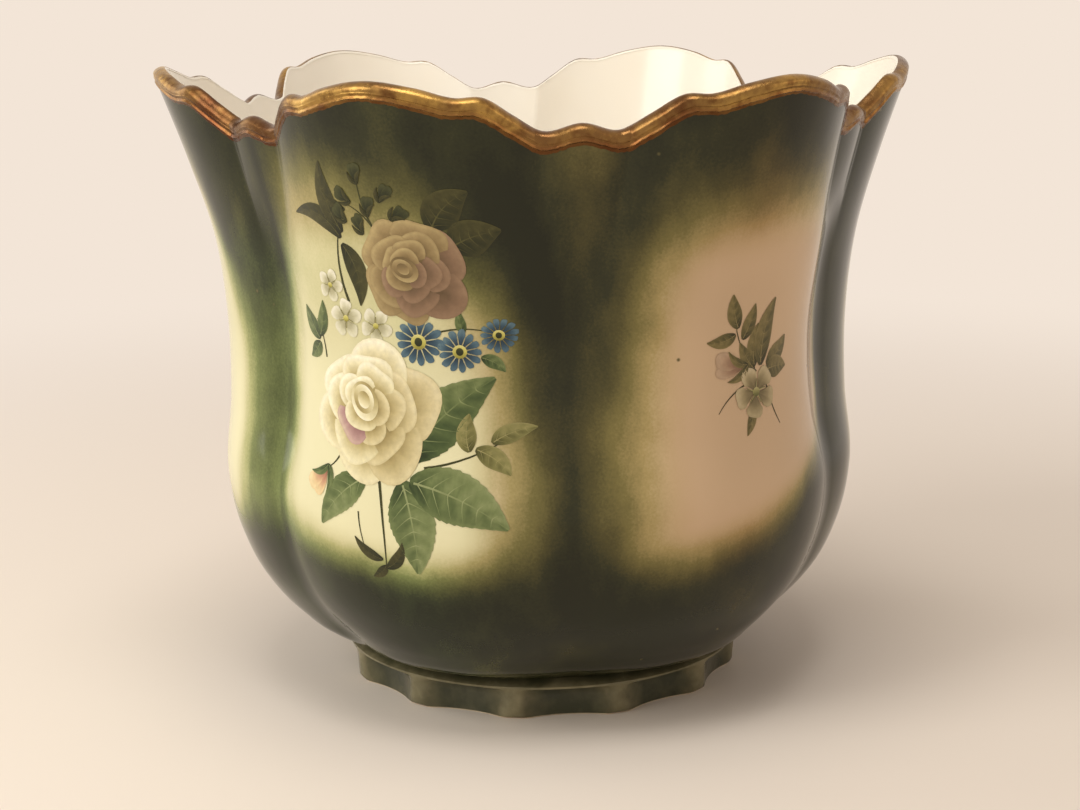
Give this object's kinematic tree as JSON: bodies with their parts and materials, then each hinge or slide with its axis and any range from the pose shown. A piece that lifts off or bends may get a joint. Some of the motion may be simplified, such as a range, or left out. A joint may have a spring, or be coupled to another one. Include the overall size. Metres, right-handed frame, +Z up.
{
  "type": "pottery planter",
  "caption": "Lobed glazed earthenware planter with a scalloped gilt rim, printed flower sprays and a fluted foot ring.",
  "frame": {"origin": "centre of the foot ring's resting face, on the surface the pot stands on", "axes": "+Z up along the pot's axis; -Y out through the front crease between two lobes; +X to the right seen from the front, through the crown of a lobe"},
  "size_m": [0.2836, 0.259, 0.2318],
  "materials": {
    "earthenware": "matte",
    "airbrushed_glaze": "gloss",
    "green_glaze": "gloss",
    "white_lining": "gloss",
    "gilding": "gloss",
    "flower_transfer": "gloss",
    "sprig_transfer": "gloss"
  },
  "bodies": {
    "root": {"earthenware_body": "earthenware", "foot_ring": "earthenware", "foot_glaze": "green_glaze", "recess_glaze": "green_glaze", "outside_glaze": "airbrushed_glaze", "inside_glaze": "white_lining", "gilt_rim": "gilding", "rose_spray_transfer_1": "flower_transfer", "rose_spray_transfer_2": "flower_transfer", "sprig_transfer_1": "sprig_transfer", "sprig_transfer_2": "sprig_transfer"}
  },
  "joints": []
}
